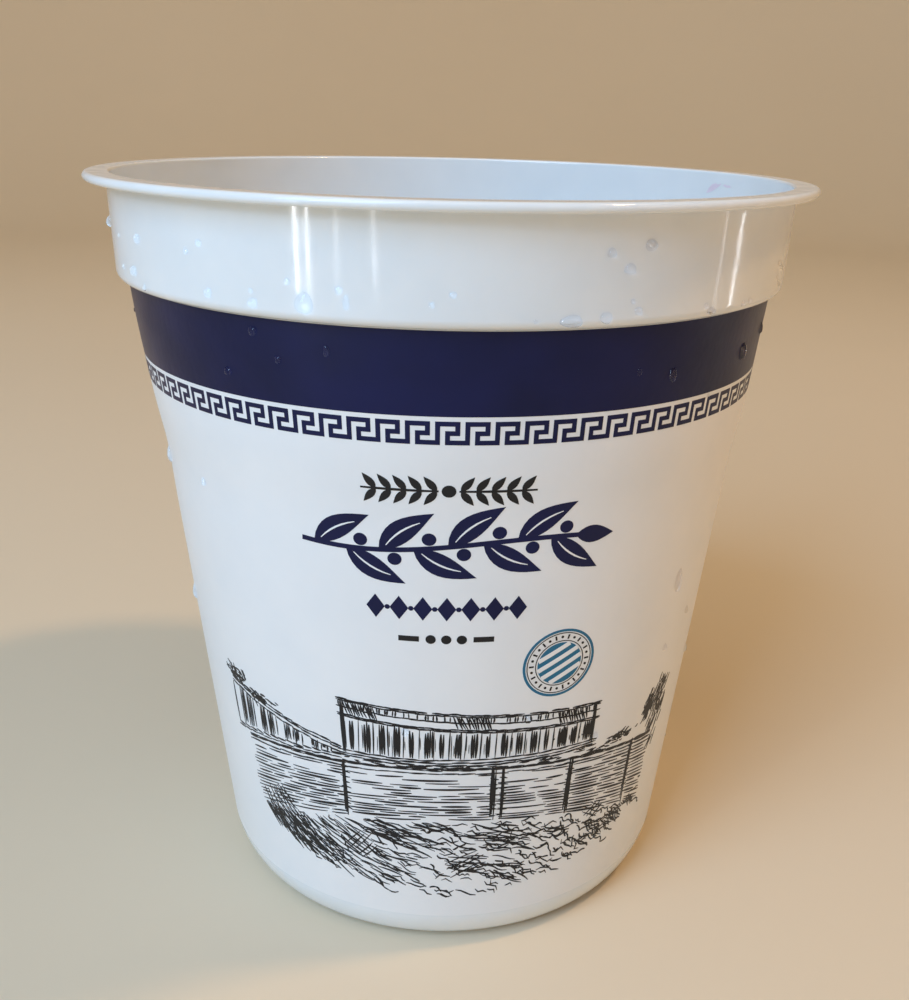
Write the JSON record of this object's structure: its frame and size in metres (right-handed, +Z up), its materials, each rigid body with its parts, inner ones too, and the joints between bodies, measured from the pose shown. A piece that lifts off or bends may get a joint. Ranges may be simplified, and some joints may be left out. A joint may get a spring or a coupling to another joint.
{
  "type": "yogurt pot",
  "caption": "Open, empty white plastic yogurt pot: tapered round body, stepped collar with a flat rim, rounded base, navy band and key border printed below the collar.",
  "frame": {"origin": "middle of the foot, on the surface that the pot stands on", "axes": "+Z up along the pot's axis; -Y towards the front of the printed label"},
  "size_m": [0.1282, 0.1282, 0.1332],
  "materials": {
    "pot_plastic": "white polypropylene, gloss moulded",
    "label_white": "white label film moulded into the wall, satin orange peel",
    "ink_navy": "navy print under satin lacquer",
    "ink_black": "black line print under satin lacquer",
    "ink_teal": "teal print under satin lacquer",
    "water": "clear rinsing drops",
    "fruit_stain": "faint dried pink smear inside the mouth"
  },
  "bodies": {
    "root": {"pot": "pot_plastic"}
  },
  "joints": []
}
